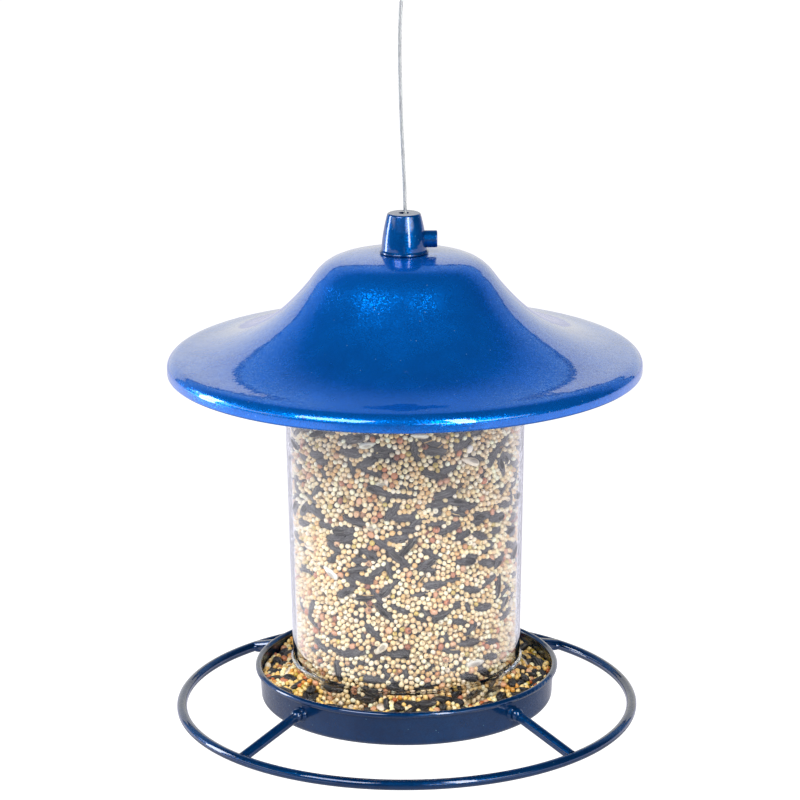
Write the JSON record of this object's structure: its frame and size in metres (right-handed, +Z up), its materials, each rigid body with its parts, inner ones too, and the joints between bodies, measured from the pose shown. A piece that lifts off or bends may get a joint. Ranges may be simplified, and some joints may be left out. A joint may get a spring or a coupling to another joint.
{
  "type": "hanging seed feeder",
  "caption": "Gravity seed feeder hung on a wire cable: clear round hopper on a shallow metal tray with a perch ring, under a bell-shaped metal roof with a push-button cable lock.",
  "frame": {"origin": "on the feeder's axis, at the underside of the perch ring", "axes": "+Z up along the cable; the front faces -Y; the lock's push button points to +X"},
  "size_m": [0.215, 0.215, 0.424],
  "materials": {
    "roof_paint": "glossy metallic",
    "base_paint": "glossy metallic",
    "clear_plastic": "clear",
    "wire_rope": "galvanised strands",
    "zinc": "zinc plated",
    "crimp": "satin"
  },
  "bodies": {
    "cable": {"hanging_cable": "wire_rope", "loop_ferrule": "crimp", "cable_end_stop": "crimp"},
    "feeder_base": {"tray": "base_paint", "stop_washer": "zinc", "reservoir_tube": "clear_plastic", "tube_screws": "zinc", "perch_ring": "base_paint", "spoke_front_left": "base_paint", "spoke_front_right": "base_paint", "spoke_back_left": "base_paint", "spoke_back_right": "base_paint", "tray_weld_beads": "base_paint", "ring_weld_beads": "base_paint"},
    "lid": {"roof": "roof_paint", "lock_housing": "roof_paint", "lock_washer": "zinc", "lock_nut": "zinc", "lock_spring": "zinc"},
    "button": {"lock_button": "roof_paint"}
  },
  "joints": [
    {"name": "feeder_spin", "type": "hinge", "parent": "cable", "child": "feeder_base", "pos_m": [0, 0, 0.0051], "axis": [0, 0, 1], "continuous": true},
    {"name": "lid_slide", "type": "slide", "parent": "cable", "child": "lid", "axis": [0, 0, 1], "range_m": [0, 0.125]},
    {"name": "button_press", "type": "slide", "parent": "lid", "child": "button", "axis": [-1, 0, 0], "range_m": [0, 0.0025], "stiffness_N_per_m": 1600, "springref_m": -0.002, "deforming": ["lock_spring"]}
  ]
}
